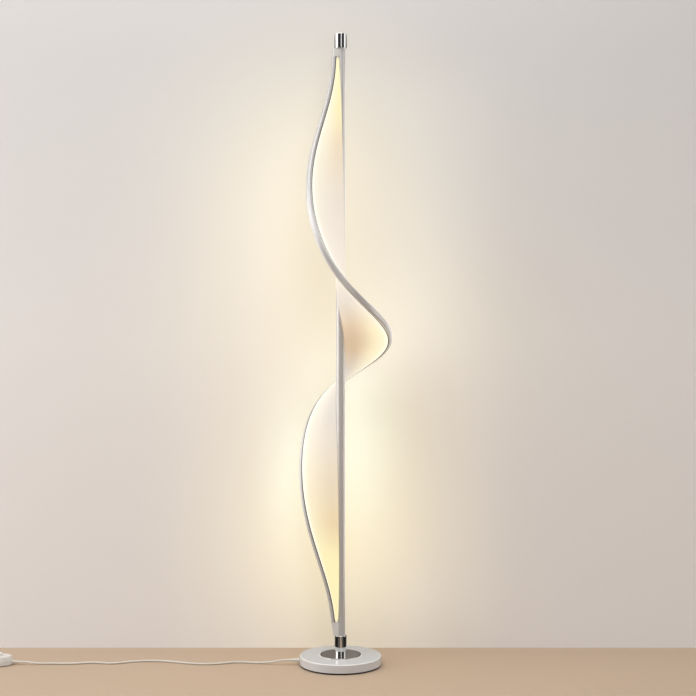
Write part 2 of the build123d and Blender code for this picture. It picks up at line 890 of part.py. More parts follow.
with BuildPart() as switch_cover:
    with BuildSketch(switch_level(switch_split)):
        Ellipse(switch_length / 2, switch_width / 2)
    extrude(amount=switch_top - switch_split, taper=switch_taper)
    fillet(switch_cover.edges().group_by(Axis.Z)[-1], switch_edge)
    with BuildSketch(switch_level(switch_split)):
        Ellipse(switch_length / 2 - switch_wall, switch_width / 2 - switch_wall)
    extrude(amount=switch_roof - switch_split, taper=switch_taper, mode=Mode.SUBTRACT)
    for spot in screw_spots:
        with BuildSketch(Plane(spot + Vector(0, 0, switch_split))):
            Circle(switch_boss)
        extrude(amount=switch_roof - switch_split)
        with BuildSketch(Plane(spot + Vector(0, 0, switch_split))):
            Circle(switch_screw_radius)
        extrude(amount=switch_roof - switch_split - switch_wall, mode=Mode.SUBTRACT)
    with BuildSketch(switch_level(switch_split)):
        Circle(button_radius + button_gap)
    extrude(amount=switch_top, mode=Mode.SUBTRACT)

with BuildPart() as switch_screws:
    for spot in screw_spots:
        with BuildSketch(Plane(spot + Vector(0, 0, switch_pad))):
            Circle(switch_screw_head)
        extrude(amount=switch_screw_sink)
        with BuildSketch(Plane(spot + Vector(0, 0, switch_pad))):
            Circle(switch_screw_radius)
        extrude(amount=switch_roof - switch_wall - switch_pad)

# Round button of the switch, which travels straight down on its spring and presses the contact block
flange_top = switch_roof - button_gap
flange_bottom = flange_top - button_flange_height
contact_top = switch_inside + contact_height
plunger_bottom = contact_top + button_travel + button_gap
with BuildPart() as switch_button:
    with BuildSketch(Plane(origin=switch_centre, x_dir=(1, 0, 0), z_dir=(0, -1, 0))):
        with BuildLine():
            Polyline(
                (0, button_top),
                (0, plunger_bottom),
                (plunger_radius, plunger_bottom),
                (plunger_radius, flange_bottom),
                (button_radius + button_flange, flange_bottom),
                (button_radius + button_flange, flange_top),
                (button_radius, flange_top),
                (button_radius, button_top - button_dome),
            )
            TangentArc((0, button_top), (button_radius, button_top - button_dome), tangent=(1, 0))
        make_face()
    revolve(axis=Axis(switch_centre, (0, 0, 1)))

with BuildPart() as switch_spring:
    with BuildSketch(switch_level(switch_inside)):
        Circle(spring_radius)
        Circle(spring_radius - spring_wire, mode=Mode.SUBTRACT)
    extrude(amount=flange_bottom - switch_inside)

with BuildPart() as switch_contact:
    with BuildSketch(switch_level(switch_inside)):
        Rectangle(contact_length, contact_width)
    extrude(amount=contact_height)


def grommet_outline(end, way):
    """Half of a grommet's profile, in the sketch that is open: the shell's end, and which way is out."""
    with BuildLine() as outline:
        Polyline(
            (end - way * (switch_wall + grommet_inside), grommet_height),
            (end - way * (switch_wall + grommet_inside), grommet_height + grommet_neck),
            (end, grommet_height + grommet_neck),
            (end, grommet_height + grommet_root),
            (end + way * grommet_length, grommet_height + grommet_tip),
            (end + way * grommet_length, grommet_height),
            close=True,
        )
    make_face(outline.edges())


with BuildPart() as switch_grommet_lamp:
    with BuildSketch(Plane.XZ):
        grommet_outline(switch_x + switch_length / 2, 1)
    revolve(axis=Axis((switch_x, 0, grommet_height), (1, 0, 0)))

with BuildPart() as switch_grommet_mains:
    with BuildSketch(Plane.XZ):
        grommet_outline(switch_x - switch_length / 2, -1)
    revolve(axis=Axis((switch_x, 0, grommet_height), (1, 0, 0)))

# Flat two-pin mains plug with its moulded strain relief
plug_back = plug_relief_start + plug_relief_length
plug_front = plug_back + plug_length_body


def plug_plane(x):
    """The plane square to the plug at a place along it."""
    return Plane(origin=(x, plug_y, plug_height), x_dir=(0, 1, 0), z_dir=(1, 0, 0))


with BuildPart() as plug_body:
    with BuildSketch(plug_plane(plug_back)):
        RectangleRounded(plug_neck, plug_neck, plug_neck_corner)
    with BuildSketch(plug_plane(plug_back + plug_shoulder)):
        RectangleRounded(plug_width, plug_thickness, plug_corner)
    loft()
    with BuildSketch(plug_plane(plug_back + plug_shoulder)):
        RectangleRounded(plug_width, plug_thickness, plug_corner)
    extrude(amount=plug_length_body - plug_shoulder)
    fillet(plug_body.edges().group_by(Axis.X)[-1], pin_round)
    with BuildSketch(plug_plane(plug_relief_start)):
        Circle(relief_tip)
    with BuildSketch(plug_plane(plug_back)):
        Circle(plug_neck_corner)
    loft()

with BuildPart() as plug_pins:
    with BuildSketch(plug_plane(plug_front)):
        with GridLocations(pin_spacing, 1, 2, 1):
            Circle(pin_radius)
    extrude(amount=pin_length)
    fillet(plug_pins.edges().group_by(Axis.X)[-1], pin_round)

nodes = {
    "anti_slip_pad": anti_slip_pad,
    "base_bottom_plate": base_bottom_plate,
    "base_shell": base_shell,
    "counterweight": counterweight,
    "bottom_screws": bottom_screws,
    "cover_disc": cover_disc,
    "post_collar": post_collar,
    "threaded_rod": threaded_rod,
    "rod_washer": rod_washer,
    "rod_nut": rod_nut,
    "post_lower_plug": post_lower_plug,
    "post_tube": post_tube,
    "post_upper_plug": post_upper_plug,
    "top_cap": top_cap,
    "spiral_rail": spiral_rail,
    "led_strip": led_strip,
    "led_chips": led_chips,
    "strip_connector": strip_connector,
    "diffuser_upper": diffuser_upper,
    "diffuser_lower": diffuser_lower,
    "lower_joint_block": lower_joint_block,
    "upper_joint_block": upper_joint_block,
    "block_screws": block_screws,
    "led_driver": led_driver,
    "driver_lead": driver_lead,
    "mains_wires": mains_wires,
    "strain_relief": strain_relief,
    "cord_to_switch": cord_to_switch,
    "switch_rubber": switch_rubber,
    "switch_base": switch_base,
    "switch_cover": switch_cover,
    "switch_screws": switch_screws,
    "switch_button": switch_button,
    "switch_spring": switch_spring,
    "switch_contact": switch_contact,
    "switch_grommet_lamp": switch_grommet_lamp,
    "switch_grommet_mains": switch_grommet_mains,
    "cord_from_switch": cord_from_switch,
    "cord_coil": cord_coil,
    "coil_tie": coil_tie,
    "cord_to_plug": cord_to_plug,
    "plug_body": plug_body,
    "plug_pins": plug_pins,
}
for name, piece in nodes.items():
    piece.part.label = name
    export_step(piece.part, f"parts/{name}.step")

# Radii, lengths and volumes of the lead, and the least gap of the coil to itself
section_area = math.pi * cord_radius**2
cords = {
    "to switch": (cord_to_switch, to_switch_path),
    "from switch": (cord_from_switch, from_switch_path),
    "coil": (cord_coil, coil_path),
    "to plug": (cord_to_plug, to_plug_path),
}
for name, (tube, path) in cords.items():
    length = sum(edge.length for edge in path.edges())
    print(f"cord {name}: length {length:.0f}, volume over section times length",
          f"{tube.part.volume / (section_area * length):.4f}")
routes = {"to switch": to_switch_route, "from switch": from_switch_route, "to plug": to_plug_route}
for name, route in routes.items():
    print(f"cord {name}: radii", [round(radius) for radius in corner_radii(route)])
coil_points = [tuple(coil_path.line @ (i / path_samples)) for i in range(path_samples + 1)]
coil_length = sum(edge.length for edge in coil_path.edges())
apart = math.ceil(2 * climb_radius / (coil_length / path_samples))
nearest = min(
    math.dist(coil_points[i], coil_points[j])
    for i in range(path_samples + 1)
    for j in range(i + apart, path_samples + 1)
)
print(f"coil: least gap to itself {nearest - 2 * cord_radius:.2f}")
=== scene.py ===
# %% [markdown]
# # A floor lamp with a glowing spiral fin
#
# The lamp is a thin post on a weighted round base. A rail winds once round the post, and two translucent
# skins close the space between the rail and the post, so that the whole fin glows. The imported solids
# give the exact places and sizes. This lesson keeps the turned metal parts of that frame, gives them
# finishes, and builds the curved parts again with smooth, even meshes.

# %% Load the frame
import math

import bpy
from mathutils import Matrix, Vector


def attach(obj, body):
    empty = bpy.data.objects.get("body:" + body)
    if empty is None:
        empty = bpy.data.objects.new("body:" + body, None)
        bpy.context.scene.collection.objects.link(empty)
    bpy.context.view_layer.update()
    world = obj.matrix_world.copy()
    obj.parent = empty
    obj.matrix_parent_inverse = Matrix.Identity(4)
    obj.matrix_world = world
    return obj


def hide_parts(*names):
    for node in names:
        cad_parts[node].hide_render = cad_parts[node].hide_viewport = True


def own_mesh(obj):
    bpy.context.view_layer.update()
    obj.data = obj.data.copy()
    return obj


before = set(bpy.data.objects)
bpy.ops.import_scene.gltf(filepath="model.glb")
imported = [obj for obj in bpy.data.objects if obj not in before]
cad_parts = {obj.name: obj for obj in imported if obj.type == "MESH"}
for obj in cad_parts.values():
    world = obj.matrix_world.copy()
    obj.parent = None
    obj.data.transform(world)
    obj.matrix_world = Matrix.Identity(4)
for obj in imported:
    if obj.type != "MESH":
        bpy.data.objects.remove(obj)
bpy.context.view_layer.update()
MM = 0.001

# %% [markdown]
# ## Camera
#
# The picture was taken level, at half the height of the lamp, from a little under three metres. A long
# lens keeps the post straight. The frame is square, 696 by 696 pixels, so the focal length in pixels
# turns into millimetres on the sensor with one division.

# %% Camera
FRAME_PIXELS = 696
FOCAL_PIXELS = 1243
SENSOR_WIDTH = 36.0

camera_data = bpy.data.cameras.new("camera")
camera_data.sensor_width = SENSOR_WIDTH
camera_data.lens = SENSOR_WIDTH * FOCAL_PIXELS / FRAME_PIXELS
camera = bpy.data.objects.new("camera", camera_data)
camera.location = (0.0163, -2.745, 0.699)
camera.rotation_euler = (math.radians(90), 0, 0)
bpy.context.scene.collection.objects.link(camera)
bpy.context.scene.camera = camera
print("camera:", round(camera_data.lens, 1), "mm lens")

# %% [markdown]
# ## The mains lead
#
# The lead is a soft round cord. It leaves the base through its strain relief, drops to the floor,
# wanders to the foot switch, and goes on to a small tied coil and the plug. A bevelled NURBS curve is
# the natural tool: the points pull the line towards them like a cord laid by hand, and the bevel gives
# it its thickness. Each point carries the cord's radius and the bevel is one, so that the box of the
# curve is no larger than the cord.

# %% Helper: a cord from its route
CORD_RADIUS = 2.1
FLOOR_LINE = CORD_RADIUS


def lay_cord(name, route):
    """A smooth round cord that follows a route given in millimetres."""
    curve = bpy.data.curves.new(name, "CURVE")
    curve.dimensions = "3D"
    curve.resolution_u = 8
    curve.bevel_depth = 1.0
    curve.bevel_resolution = 5
    curve.use_fill_caps = True
    spline = curve.splines.new("NURBS")
    spline.points.add(len(route) - 1)
    for point, place in zip(spline.points, route):
        point.co = (*[value * MM for value in place], 1.0)
        point.radius = CORD_RADIUS * MM
    spline.order_u = 3
    spline.use_endpoint_u = True
    cord = bpy.data.objects.new(name, curve)
    bpy.context.scene.collection.objects.link(cord)
    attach(cord, "lamp")
    print(name, "follows", len(route), "points and is", round(spline.calc_length(), 3), "m long")
    return cord


# %% From the base to the foot switch
GROMMET_HEIGHT = 6.0
lamp_lead = lay_cord(
    "lamp_lead",
    [
        (-112.0, 0.0, 10.0),
        (-130.0, 0.0, 10.0),
        (-153.0, 1.5, 5.0),
        (-183.0, 6.0, FLOOR_LINE),
        (-232.0, 17.0, FLOOR_LINE),
        (-274.0, -3.0, FLOOR_LINE),
        (-318.0, -4.0, FLOOR_LINE),
        (-362.0, 13.0, FLOOR_LINE),
        (-412.0, 28.0, FLOOR_LINE),
        (-462.0, 20.0, FLOOR_LINE),
        (-505.0, -1.0, FLOOR_LINE),
        (-549.0, 13.0, FLOOR_LINE),
        (-595.0, -2.0, FLOOR_LINE),
        (-636.0, 2.0, FLOOR_LINE),
        (-668.0, -1.0, FLOOR_LINE),
        (-693.0, 0.0, GROMMET_HEIGHT),
        (-715.0, 0.0, GROMMET_HEIGHT),
    ],
)
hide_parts("cord_to_switch")

# %% [markdown]
# ## The put-away coil
#
# The lead is longer than the picture shows, and the rest is wound up beside the switch. The coil lies in
# two layers: it winds inwards on the floor, climbs in one half turn, and winds outwards on top. Each
# half turn has its own radius and a centre that jumps from side to side, which is how a flat spiral is
# drawn with a compass. A NURBS line runs a little inside its points, so the points stand a little
# outside the turn.

# %% From the foot switch through the coil to the plug
COIL_X = -912.2
COIL_Y = 3.0
COIL_LOW = 3.2
COIL_HIGH = 7.9
OUTER_RADIUS = 31.075
RADIUS_STEP = 2.35
HALF_TURNS = 6
POINTS_PER_HALF = 8


def half_turn(start_y, radius, side, low, high):
    """The points of one half turn of the coil, and where it ends."""
    spacing = math.pi / POINTS_PER_HALF
    spread = radius / (0.75 + 0.25 * math.cos(spacing))
    middle = start_y - side * radius
    points = []
    for i in range(POINTS_PER_HALF):
        turn = spacing * (i + 0.5)
        share = (i + 0.5) / POINTS_PER_HALF
        points.append((
            COIL_X + side * spread * math.sin(turn),
            middle + side * spread * math.cos(turn),
            low + (high - low) * (3 - 2 * share) * share * share,
        ))
    return points, start_y - side * 2 * radius


half_turn_radii = [OUTER_RADIUS - RADIUS_STEP * i for i in range(HALF_TURNS)]
climb_radius = OUTER_RADIUS - RADIUS_STEP * HALF_TURNS
coil_points = []
y, side = COIL_Y, -1
for radius in half_turn_radii:
    points, y = half_turn(y, radius, side, COIL_LOW, COIL_LOW)
    coil_points += points
    side = -side
points, y = half_turn(y, climb_radius, side, COIL_LOW, COIL_HIGH)
coil_points += points
side = -side
for radius in reversed(half_turn_radii):
    points, y = half_turn(y, radius, side, COIL_HIGH, COIL_HIGH)
    coil_points += points
    side = -side

mains_lead = lay_cord(
    "mains_lead",
    [
        (-811.0, 0.0, GROMMET_HEIGHT),
        (-833.0, 0.0, GROMMET_HEIGHT),
        (-860.0, -1.0, 3.8),
        (-886.0, COIL_Y, COIL_LOW),
        (-906.0, COIL_Y, COIL_LOW),
        *coil_points,
        (-906.0, y, COIL_HIGH),
        (-894.0, y, COIL_HIGH),
        (-878.0, 63.0, 7.2),
        (-864.0, 63.0, 7.2),
    ],
)
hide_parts("cord_from_switch", "cord_coil", "cord_to_plug")
print("coil:", len(coil_points), "points, ends at y", round(y, 2))

# %% [markdown]
# ## The line of the rail
#
# The rail's centre is given by two short formulas over the height: how far it stands from the post, and
# how far it has turned. It leaves the post gently, swings out, and does most of its turn near the
# middle. The same two formulas drive the rail, the skins and nothing else, so a change of shape stays in
# one place.

# %% The rail's path
RAIL_MIDDLE = 707.4
RAIL_HALF = 690.0
RAIL_REACH = 109.3
RAIL_REST = 14.5
RAIL_BULGE = 4.33
RAIL_TAPER = 4.36
RAIL_START = 208.9
RAIL_TURN = 297.8
RAIL_TWIST = 4.37
RAIL_SKEW = 0.382
RAIL_SKEW_RATE = 3.0
RAIL_SHIFT = 0.023
RAIL_DRIFT = 33.5
RAIL_LOW = 94.2
RAIL_HIGH = 1340.9
RAIL_STEP = 0.5
FINE_STEPS = 2000
POST_RADIUS = 10.0


def rail_point(height):
    """Distance from the post's axis, and angle in radians, at a height."""
    u = (RAIL_MIDDLE - height) / RAIL_HALF
    along = min(abs(u), 1.0)
    distance = RAIL_REST + (RAIL_REACH - RAIL_REST) * (1 - along**RAIL_BULGE) ** RAIL_TAPER
    w = u + RAIL_SHIFT
    bend = RAIL_TWIST * (1 + RAIL_SKEW * math.tanh(RAIL_SKEW_RATE * w)) * w
    turn = RAIL_START + RAIL_TURN / 2 * (1 + bend / math.sqrt(1 + bend * bend)) + RAIL_DRIFT * u
    return distance, math.radians(turn)


def polar(distance, angle, height):
    """A point round the post."""
    return Vector((distance * math.cos(angle), distance * math.sin(angle), height))


def rail_centre(height):
    """The rail's centre at a height."""
    distance, angle = rail_point(height)
    return polar(distance, angle, height)


def rail_frame(height):
    """Origin and the three directions of the rail's section: away from the post, across, and along."""
    outwards = polar(1, rail_point(height)[1], 0)
    along = (rail_centre(height + RAIL_STEP) - rail_centre(height - RAIL_STEP)).normalized()
    if min(height - RAIL_LOW, RAIL_HIGH - height) < RAIL_STEP:
        along = Vector((0, 0, 1))
    away = (outwards - along * outwards.dot(along)).normalized()
    return rail_centre(height), away, along.cross(away), along


print("rail: from", RAIL_LOW, "to", RAIL_HIGH, "mm, turns", RAIL_TURN, "degrees")


# %% Helper: even stretches along the rail
def even_heights(low, high, count):
    """Heights that divide the rail into stretches of equal length, and the length up to each."""
    fine = [low + (high - low) * i / FINE_STEPS for i in range(FINE_STEPS + 1)]
    lengths = [0.0]
    for below, above in zip(fine, fine[1:]):
        lengths.append(lengths[-1] + (rail_centre(above) - rail_centre(below)).length)
    heights, places, k = [], [], 0
    for i in range(count):
        wanted = lengths[-1] * i / (count - 1)
        while k < FINE_STEPS - 1 and lengths[k + 1] < wanted:
            k += 1
        share = (wanted - lengths[k]) / (lengths[k + 1] - lengths[k])
        heights.append(fine[k] + (fine[k + 1] - fine[k]) * share)
        places.append(wanted)
    return heights, places


print("rail:", round(even_heights(RAIL_LOW, RAIL_HIGH, 2)[1][-1]), "mm along its line")

# %% [markdown]
# ## The rail
#
# The real rail is a bent aluminium channel with a rounded back. It is one closed outline carried along
# the path, so it is lofted ring by ring: each ring is the outline placed in the rail's section, and
# neighbouring rings are joined with quads. A map with the length along the rail and the way round the
# outline goes with it, so that the drawing lines of the metal can follow the bend.

# %% Helper: loft rings into a mesh
def link_mesh(name, points, faces, maps=None, sharp=35.0):
    """A mesh object from points in millimetres, smooth apart from its sharp edges."""
    mesh = bpy.data.meshes.new(name)
    mesh.from_pydata([tuple(p * MM) for p in points], [], faces)
    if maps:
        layer = mesh.uv_layers.new(name="wrap")
        for loop in mesh.loops:
            layer.data[loop.index].uv = maps[loop.vertex_index]
    mesh.validate()
    mesh.polygons.foreach_set("use_smooth", [True] * len(mesh.polygons))
    mesh.set_sharp_from_angle(angle=math.radians(sharp))
    made = bpy.data.objects.new(name, mesh)
    bpy.context.scene.collection.objects.link(made)
    print(name, len(mesh.vertices), "points,", len(mesh.polygons), "faces")
    return made


def loft(name, rings, maps, sharp=35.0):
    """Closed rings joined one to the next, with both ends capped."""
    size = len(rings[0])
    points = [p for ring in rings for p in ring]
    faces = []
    for i in range(len(rings) - 1):
        for j in range(size):
            k = (j + 1) % size
            faces.append((i * size + j, i * size + k, (i + 1) * size + k, (i + 1) * size + j))
    faces.append(tuple(reversed(range(size))))
    last = (len(rings) - 1) * size
    faces.append(tuple(range(last, last + size)))
    return link_mesh(name, points, faces, maps, sharp)


def corner(centre, radius, start, end, count):
    """Points of a rounded corner, angles in degrees."""
    turns = [math.radians(start + (end - start) * i / (count - 1)) for i in range(count)]
    return [(centre[0] + radius * math.cos(t), centre[1] + radius * math.sin(t)) for t in turns]


# %% The channel
RAIL_WIDTH = 14.0
RAIL_DEPTH = 9.0
RAIL_WALL = 1.5
RAIL_ROUND = 3.5
LIP_ROUND = 0.5
RAIL_RINGS = 420

inner, outer, flank = -RAIL_DEPTH / 2, RAIL_DEPTH / 2, RAIL_WIDTH / 2
channel_floor = outer - RAIL_WALL
channel_side = flank - RAIL_WALL
channel = [
    (channel_floor, -channel_side),
    *corner((inner + LIP_ROUND, -channel_side - LIP_ROUND), LIP_ROUND, 90, 180, 4),
    *corner((inner + LIP_ROUND, -flank + LIP_ROUND), LIP_ROUND, 180, 270, 4),
    *corner((outer - RAIL_ROUND, -flank + RAIL_ROUND), RAIL_ROUND, 270, 360, 8),
    *corner((outer - RAIL_ROUND, flank - RAIL_ROUND), RAIL_ROUND, 0, 90, 8),
    *corner((inner + LIP_ROUND, flank - LIP_ROUND), LIP_ROUND, 90, 180, 4),
    *corner((inner + LIP_ROUND, channel_side + LIP_ROUND), LIP_ROUND, 180, 270, 4),
    (channel_floor, channel_side),
]
rings, maps = [], []
for height, place in zip(*even_heights(RAIL_LOW, RAIL_HIGH, RAIL_RINGS)):
    centre, away, across, along = rail_frame(height)
    rings.append([centre + away * x + across * y for x, y in channel])
    maps += [(place * MM, j / len(channel)) for j in range(len(channel))]
rail = loft("rail", rings, maps)
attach(rail, "lamp")
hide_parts("spiral_rail")

# %% [markdown]
# ## The two skins of the fin
#
# Each skin is a thin sheet stretched from the side of the post to one lip of the rail. Near the ends of
# the rail the skins sit almost flat on the sides of the post, and at the middle their roots draw closer
# together. A sheet has a map of its own: across it from post to rail, and along it from foot to head,
# which later drives the glow.

# %% The skins
SKIN_THICKNESS = 1.0
SKIN_GAP = 0.3
ROOT_WIDE = 85.0
ROOT_NARROW = 38.0
ROOT_BLEND = 0.2
SKIN_ENDS = 0.3
SKIN_RINGS = 360
SKIN_COLUMNS = 14


def skin_edges(height, side):
    """Where a skin meets the post and where it meets the rail's lip."""
    centre, away, across, along = rail_frame(height)
    lip = centre - away * (RAIL_DEPTH / 2 + SKIN_GAP) + across * side * (RAIL_WIDTH - RAIL_WALL) / 2
    angle = rail_point(height)[1]
    u = (RAIL_MIDDLE - height) / RAIL_HALF
    wanted = ROOT_WIDE - (ROOT_WIDE - ROOT_NARROW) * math.exp(-((u / ROOT_BLEND) ** 2))
    sideways = polar(side, angle + math.pi / 2, 0)
    lip_turn = math.atan2(lip.dot(sideways), lip.dot(polar(1, angle, 0)))
    root_radius = POST_RADIUS + SKIN_GAP + SKIN_THICKNESS / 2
    tangent = math.acos(root_radius / math.hypot(lip.x, lip.y))
    root = polar(root_radius, angle + side * min(math.radians(wanted), lip_turn + tangent), height)
    upright = (Vector((0, 0, 1)) + along).normalized()
    span = (lip - root).normalized()
    upright = (upright - span * upright.dot(span)).normalized()
    return root, lip, upright.cross(span) * SKIN_THICKNESS / 2


def make_skin(name, side, node):
    """One skin of the fin, a closed thin sheet."""
    heights = even_heights(RAIL_LOW + SKIN_ENDS, RAIL_HIGH - SKIN_ENDS, SKIN_RINGS)[0]
    rings, maps = [], []
    shares = [i / (SKIN_COLUMNS - 1) for i in range(SKIN_COLUMNS)]
    for height in heights:
        root, lip, half = skin_edges(height, side)
        front = [(root.lerp(lip, share) + half, share) for share in reversed(shares)]
        back = [(root.lerp(lip, share) - half, share) for share in shares]
        rings.append([p for p, share in front + back])
        level = (height - RAIL_LOW) / (RAIL_HIGH - RAIL_LOW)
        maps += [(share, level) for p, share in front + back]
    skin = loft(name, rings, maps, 50.0)
    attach(skin, "lamp")
    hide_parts(node)
    return skin


skin_one = make_skin("skin_one", 1, "diffuser_upper")
skin_two = make_skin("skin_two", -1, "diffuser_lower")

# %% [markdown]
# ## The spring in the foot switch
#
# Under the button sits a small compression spring. It is a helix of wire, so it is lofted like the rail:
# a small ring carried round a screw line, with most of a turn flat at each end. It squashes as the
# button goes down.

# %% The spring
SWITCH_X = -763.0
SPRING_RADIUS = 10.4
SPRING_WIRE = 0.55
SPRING_TURNS = 6
SPRING_FLAT = 0.8
SPRING_LOW = 3.2
SPRING_HIGH = 15.4
RING_POINTS = 8
PER_TURN = 28

rings, maps = [], []
total = SPRING_TURNS * PER_TURN
for i in range(total + 1):
    turn = 2 * math.pi * i / PER_TURN
    rise = (i / PER_TURN - SPRING_FLAT) / (SPRING_TURNS - 2 * SPRING_FLAT)
    share = min(max(rise, 0.0), 1.0)
    height = SPRING_LOW + SPRING_WIRE + (SPRING_HIGH - SPRING_LOW - 2 * SPRING_WIRE) * share
    centre = polar(SPRING_RADIUS, turn, height) + Vector((SWITCH_X, 0, 0))
    outwards = polar(1, turn, 0)
    ring = []
    for j in range(RING_POINTS):
        a = -2 * math.pi * j / RING_POINTS
        lift = Vector((0, 0, SPRING_WIRE * math.sin(a)))
        ring.append(centre + outwards * SPRING_WIRE * math.cos(a) + lift)
        maps.append((i / PER_TURN, j / RING_POINTS))
    rings.append(ring)
spring = loft("button_spring", rings, maps)
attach(spring, "lamp")
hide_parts("switch_spring")
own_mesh(spring)

# %% [markdown]
# ## Shader sums
#
# A finish is easier to read as a sum than as a web of boxes. This small class wraps a socket, so that
# `0.2 + 0.1 * grain` adds the two Math nodes by itself. Every other node comes from its one method.

# %% Helper: sockets that can be added and multiplied
class Val:
    """A socket of a material that takes part in sums such as 1 - mask."""

    def __init__(self, tree, socket=None):
        self.tree = tree
        self.socket = socket

    def feed(self, socket, value):
        """Links a value to a socket, or sets it there."""
        if isinstance(value, Val):
            self.tree.links.new(value.socket, socket)
        else:
            socket.default_value = value

    def node(self, kind, settings=None, inputs=None, out=0):
        """Adds a node, sets it up, feeds its sockets, and gives one of its outputs."""
        made = self.tree.nodes.new(kind)
        for name, value in (settings or {}).items():
            if name == "stops":
                stops = made.color_ramp.elements
                stops[0].position, stops[0].color = value[0][0], (*value[0][1], 1)
                stops[1].position, stops[1].color = value[-1][0], (*value[-1][1], 1)
                for place, colour in value[1:-1]:
                    stops.new(place).color = (*colour, 1)
            else:
                setattr(made, name, value)
        for name, value in (inputs or {}).items():
            self.feed(made.inputs[name], value)
        return Val(self.tree, made.outputs[out])

    def sum(self, operation, a, b):
        """One sum of two values."""
        return self.node("ShaderNodeMath", {"operation": operation}, {0: a, 1: b})

    def __add__(self, other):
        return self.sum("ADD", self, other)

    def __radd__(self, other):
        return self.sum("ADD", other, self)

    def __sub__(self, other):
        return self.sum("SUBTRACT", self, other)

    def __rsub__(self, other):
        return self.sum("SUBTRACT", other, self)

    def __mul__(self, other):
        return self.sum("MULTIPLY", self, other)

    def __rmul__(self, other):
        return self.sum("MULTIPLY", other, self)

    def __pow__(self, other):
        return self.sum("POWER", self, other)


# %% Helper: finishes and what they are mixed from
def make_finish(name, fixed, varying):
    """A material: fixed values go on the shader's own sockets, and varying(start) gives what changes."""
    material = bpy.data.materials.new(name)
    material.use_nodes = True
    shader = material.node_tree.nodes["Principled BSDF"]
    for socket, value in fixed.items():
        shader.inputs[socket].default_value = value
    start = Val(material.node_tree)
    for socket, value in varying(start).items():
        start.feed(shader.inputs[socket], value)
    print("finish:", name, len(material.node_tree.nodes), "nodes")
    return material


def grain(start, scale, stretch=(1, 1, 1), detail=3.0, kind="Object"):
    """Fine noise in the piece's own space, stretched along its axes."""
    here = start.node("ShaderNodeTexCoord", out=kind)
    placed = start.node("ShaderNodeMapping", inputs={"Vector": here, "Scale": stretch})
    return start.node("ShaderNodeTexNoise", inputs={"Vector": placed, "Scale": scale, "Detail": detail})


def blend(start, share, first, second):
    """A colour between two colours."""
    return start.node("ShaderNodeMix", {"data_type": "RGBA"}, {0: share, 6: first, 7: second}, 2)


def step(start, value, low, high):
    """Rises softly from 0 to 1 while the value goes from low to high."""
    return start.node(
        "ShaderNodeMapRange",
        {"interpolation_type": "SMOOTHSTEP"},
        {"Value": value, "From Min": low, "From Max": high},
    )


def from_axis(start, here):
    """How far a point is from the axis of the post, in millimetres."""
    flat = start.node("ShaderNodeVectorMath", {"operation": "MULTIPLY"}, {0: here, 1: (1, 1, 0)})
    return start.node("ShaderNodeVectorMath", {"operation": "LENGTH"}, {0: flat}, "Value") * (1 / MM)


def relief(start, height, depth, strength=1.0):
    """A small relief of the surface, its depth in millimetres."""
    return start.node(
        "ShaderNodeBump",
        inputs={"Strength": strength, "Distance": depth * MM, "Height": height},
        out="Normal",
    )


# %% [markdown]
# ## White enamel, satin silver and chrome
#
# The base is sprayed with glossy white enamel, which has a faint orange peel. The post and the rail have
# a satin silver-white coat with the fine lines of drawn metal under it. Collar, cap and disc are
# polished and plated: nearly mirrors, with lathe marks that are only seen where light grazes them.

# %% White enamel, with painted highlights round its rim and round the disc, and painted shade at its foot
BASE_RADIUS = 90.0
SHELL_LOW = 2.0
BASE_TOP = 21.5
DISC_RADIUS = 45.0


def enamel(start):
    cloud = grain(start, 40.0, detail=2.0)
    peel = grain(start, 900.0, detail=1.0)
    here = start.node("ShaderNodeTexCoord", out="Object")
    height = start.node("ShaderNodeSeparateXYZ", inputs={0: here}, out="Z") * (1 / MM)
    radius = from_axis(start, here)
    paint = blend(start, cloud, (0.68, 0.685, 0.70, 1), (0.695, 0.70, 0.715, 1))
    # The bright band round the top edge and the bright ring round the disc are painted highlights.
    outside = step(start, radius, BASE_RADIUS - 2.4, BASE_RADIUS - 1.4)
    painted_rim_highlight = outside * step(start, height, BASE_TOP - 2.6, BASE_TOP - 1.4)
    painted_disc_highlight = step(start, radius, DISC_RADIUS - 0.2, DISC_RADIUS) * (
        1 - step(start, radius, DISC_RADIUS + 2.2, DISC_RADIUS + 3.0)
    )
    # The dark band at the foot of the shell is painted shade.
    painted_foot_shade = 1 - step(start, height, SHELL_LOW + 1.0, SHELL_LOW + 1.5)
    paint_with_highlights = blend(start, start.sum("MAXIMUM", painted_rim_highlight, painted_disc_highlight), paint, (0.88, 0.88, 0.885, 1))
    return {
        "Base Color": blend(start, painted_foot_shade, paint_with_highlights, (0.012, 0.012, 0.012, 1)),
        "Roughness": 0.2 + 0.06 * cloud,
        "Normal": relief(start, peel, 0.006, 0.2),
    }


white_enamel = make_finish("white_enamel", {"Coat Weight": 0.35, "Coat Roughness": 0.08}, enamel)


# %% Satin coat of the post
def post_coat(start):
    streak = grain(start, 160.0, (1, 1, 0.012))
    speck = grain(start, 900.0, detail=1.0)
    return {
        "Base Color": blend(start, streak, (0.72, 0.71, 0.70, 1), (0.78, 0.77, 0.76, 1)),
        "Roughness": 0.46 + 0.12 * streak,
        "Normal": relief(start, 0.7 * streak + 0.3 * speck, 0.01, 0.4),
    }


satin_post = make_finish("satin_post", {"Metallic": 0.8}, post_coat)


# %% Satin coat of the rail, with lines that follow its bend and painted shade along its lips
BACK_MIDDLE = 0.485
LIP_SHADE_START, LIP_START = 0.234, 0.247
LIP_SHADE = (0.12, 0.116, 0.105, 1)


